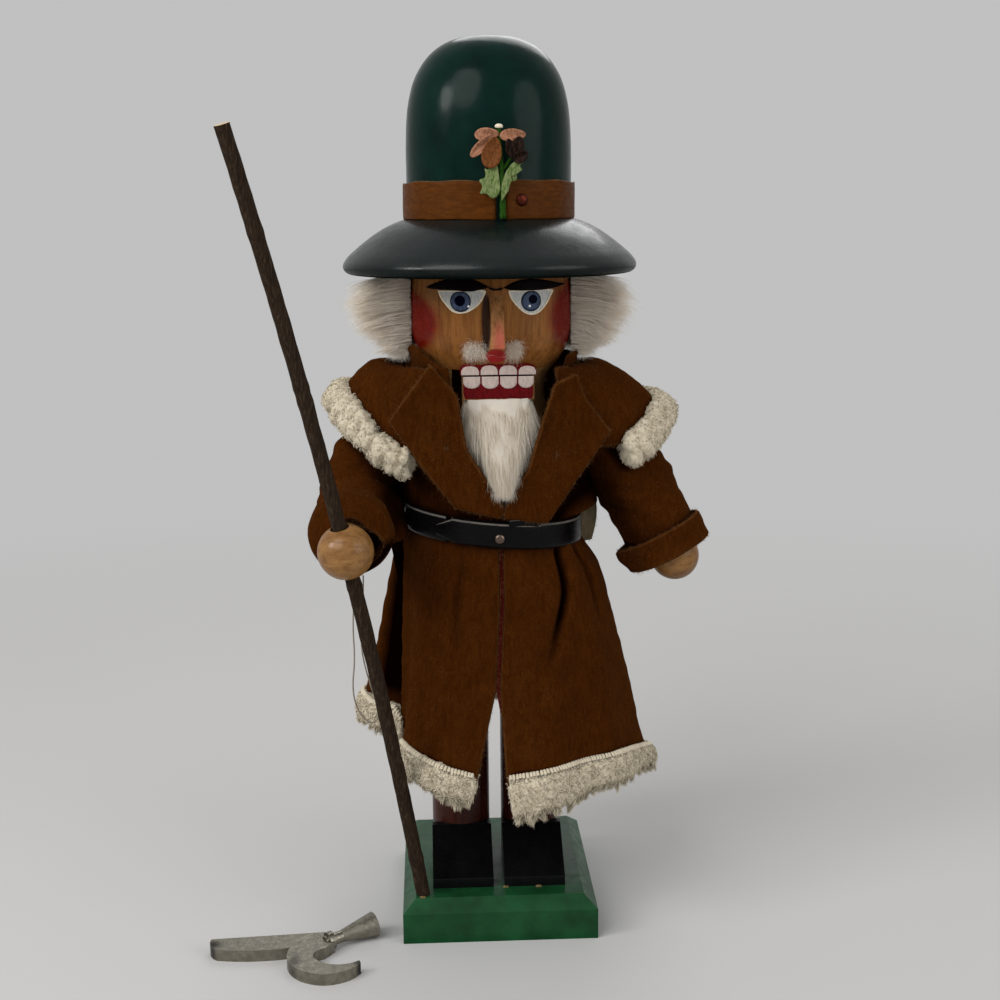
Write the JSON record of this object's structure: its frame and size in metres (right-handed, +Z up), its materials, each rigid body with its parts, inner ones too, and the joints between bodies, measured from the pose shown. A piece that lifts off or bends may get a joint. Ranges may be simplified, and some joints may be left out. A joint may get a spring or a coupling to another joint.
{
  "type": "nutcracker figure",
  "caption": "Wooden nutcracker figure in a felt coat and round-topped hat, with a lever jaw worked from the back, a removable staff and a loose hook head.",
  "frame": {"origin": "middle of the underside of the base", "axes": "+Z up; the figure faces -Y; its own left side is +X"},
  "size_m": [0.2478, 0.1887, 0.43],
  "materials": {
    "base_green": "gloss",
    "leg_brown": "gloss",
    "boot_black": "satin",
    "bare_wood": "satin",
    "face_wood": "gloss",
    "dowel_wood": "matte",
    "pin_steel": "satin",
    "white_fur": "matte",
    "brim_dark": "gloss",
    "hat_green": "gloss",
    "band_leather": "satin",
    "belt_leather": "satin",
    "band_rivet": "satin",
    "belt_rivet": "satin",
    "stem_green": "matte",
    "leaf_green": "matte",
    "petal_pink": "matte",
    "petal_brown": "matte",
    "petal_dark": "matte",
    "staff_brown": "matte",
    "coat_felt": "matte",
    "trim_fleece": "matte",
    "hook_metal": "satin",
    "thread_pale": "matte"
  },
  "bodies": {
    "figure": {"base_plinth": "base_green", "right_leg": "leg_brown", "left_leg": "leg_brown", "right_boot": "boot_black", "left_boot": "boot_black", "leg_dowels": "dowel_wood", "body": "bare_wood", "neck_dowels": "dowel_wood", "shoulder_pegs": "dowel_wood", "jaw_pivot_pin": "pin_steel", "head": "face_wood", "hat_dowel": "dowel_wood", "nose": "face_wood", "moustache": "white_fur", "hair": "white_fur", "hat_brim": "brim_dark", "hat_crown": "hat_green", "hat_band": "band_leather", "hat_band_rivet": "band_rivet", "sprig_stem": "stem_green", "sprig_petals": "petal_pink", "sprig_large_petal": "petal_brown", "sprig_dark_petals": "petal_dark", "sprig_leaves": "leaf_green", "right_upper_arm": "bare_wood", "right_forearm": "bare_wood", "right_hand": "bare_wood", "left_upper_arm": "bare_wood", "left_forearm": "bare_wood", "left_hand": "bare_wood", "coat_bodice": "coat_felt", "right_lapel": "coat_felt", "left_lapel": "coat_felt", "collar": "coat_felt", "left_cape": "coat_felt", "left_cape_trim": "trim_fleece", "right_cape": "coat_felt", "right_cape_trim": "trim_fleece", "right_sleeve": "coat_felt", "right_cuff": "coat_felt", "left_sleeve": "coat_felt", "left_cuff": "coat_felt", "coat_skirt": "coat_felt", "hem_trim_left": "trim_fleece", "hem_trim_back": "trim_fleece", "hem_trim_right": "trim_fleece", "belt": "belt_leather", "belt_rivet": "belt_rivet", "thread": "thread_pale"},
    "jaw": {"jaw_lever": "face_wood", "beard": "white_fur"},
    "staff": {"staff": "staff_brown"},
    "hook": {"hook_head": "hook_metal"}
  },
  "joints": [
    {"name": "jaw_hinge", "type": "hinge", "parent": "figure", "child": "jaw", "pos_m": [0, 0.002, 0.238], "axis": [1, 0, 0], "range_deg": [0, 24], "deforming": ["beard"]},
    {"name": "staff_slide", "type": "slide", "parent": "figure", "child": "staff", "axis": [-0.1907, -0.1897, 0.9631], "range_m": [0, 0.05]},
    {"name": "hook_lift", "type": "slide", "parent": "figure", "child": "hook", "axis": [0, 0, 1], "range_m": [0, 0.05]}
  ]
}
